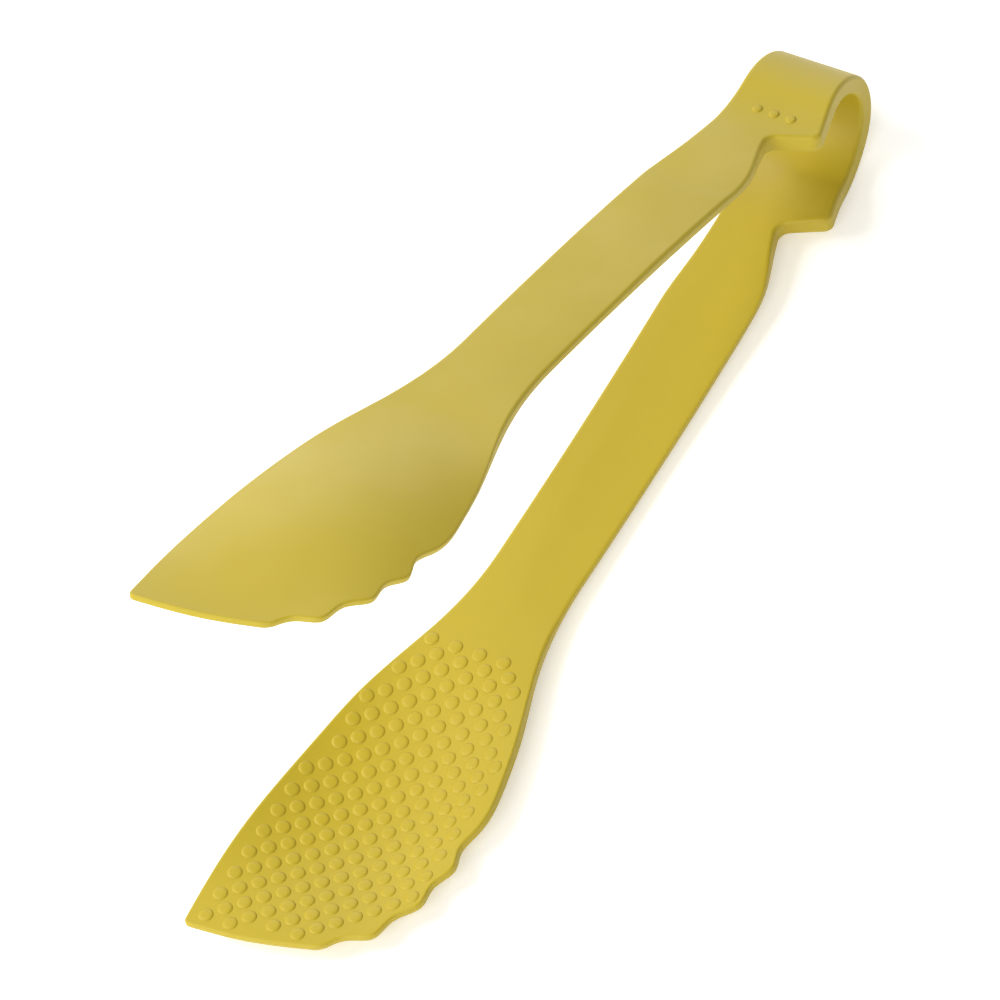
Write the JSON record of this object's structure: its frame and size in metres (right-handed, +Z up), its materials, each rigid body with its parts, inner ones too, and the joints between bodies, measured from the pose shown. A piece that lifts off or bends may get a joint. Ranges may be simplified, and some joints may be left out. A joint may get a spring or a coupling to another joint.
{
  "type": "one-piece sprung kitchen tongs",
  "caption": "One-piece moulded kitchen tongs: a C-shaped spring bow joins two flat arms with cupped, bossed jaws and a wavy gripping edge.",
  "frame": {"origin": "centre of the bounding box at its base, which is the surface that the lower arm lies on", "axes": "+X along the lower arm from the spring bow to the jaws, +Y across the arms towards the wavy jaw edge, +Z up, towards the upper arm"},
  "size_m": [0.2454, 0.0488, 0.1022],
  "materials": {
    "satin_nylon": "satin moulded nylon, olive yellow, with a fine even texture"
  },
  "bodies": {
    "lower_arm": {"spring_bow": "satin_nylon", "lower_shoulder": "satin_nylon", "lower_handle": "satin_nylon", "lower_jaw": "satin_nylon", "lower_grip_bosses": "satin_nylon"},
    "upper_arm": {"upper_shoulder": "satin_nylon", "upper_handle": "satin_nylon", "upper_jaw": "satin_nylon", "upper_grip_bosses": "satin_nylon", "upper_raised_dots": "satin_nylon"}
  },
  "joints": [
    {"name": "upper_arm_squeeze", "type": "hinge", "parent": "lower_arm", "child": "upper_arm", "pos_m": [-0.11393, 0.00114, 0.01325], "axis": [0, 1, 0], "range_deg": [0, 23], "stiffness_Nm_per_rad": 2, "deforming": ["spring_bow"]}
  ]
}
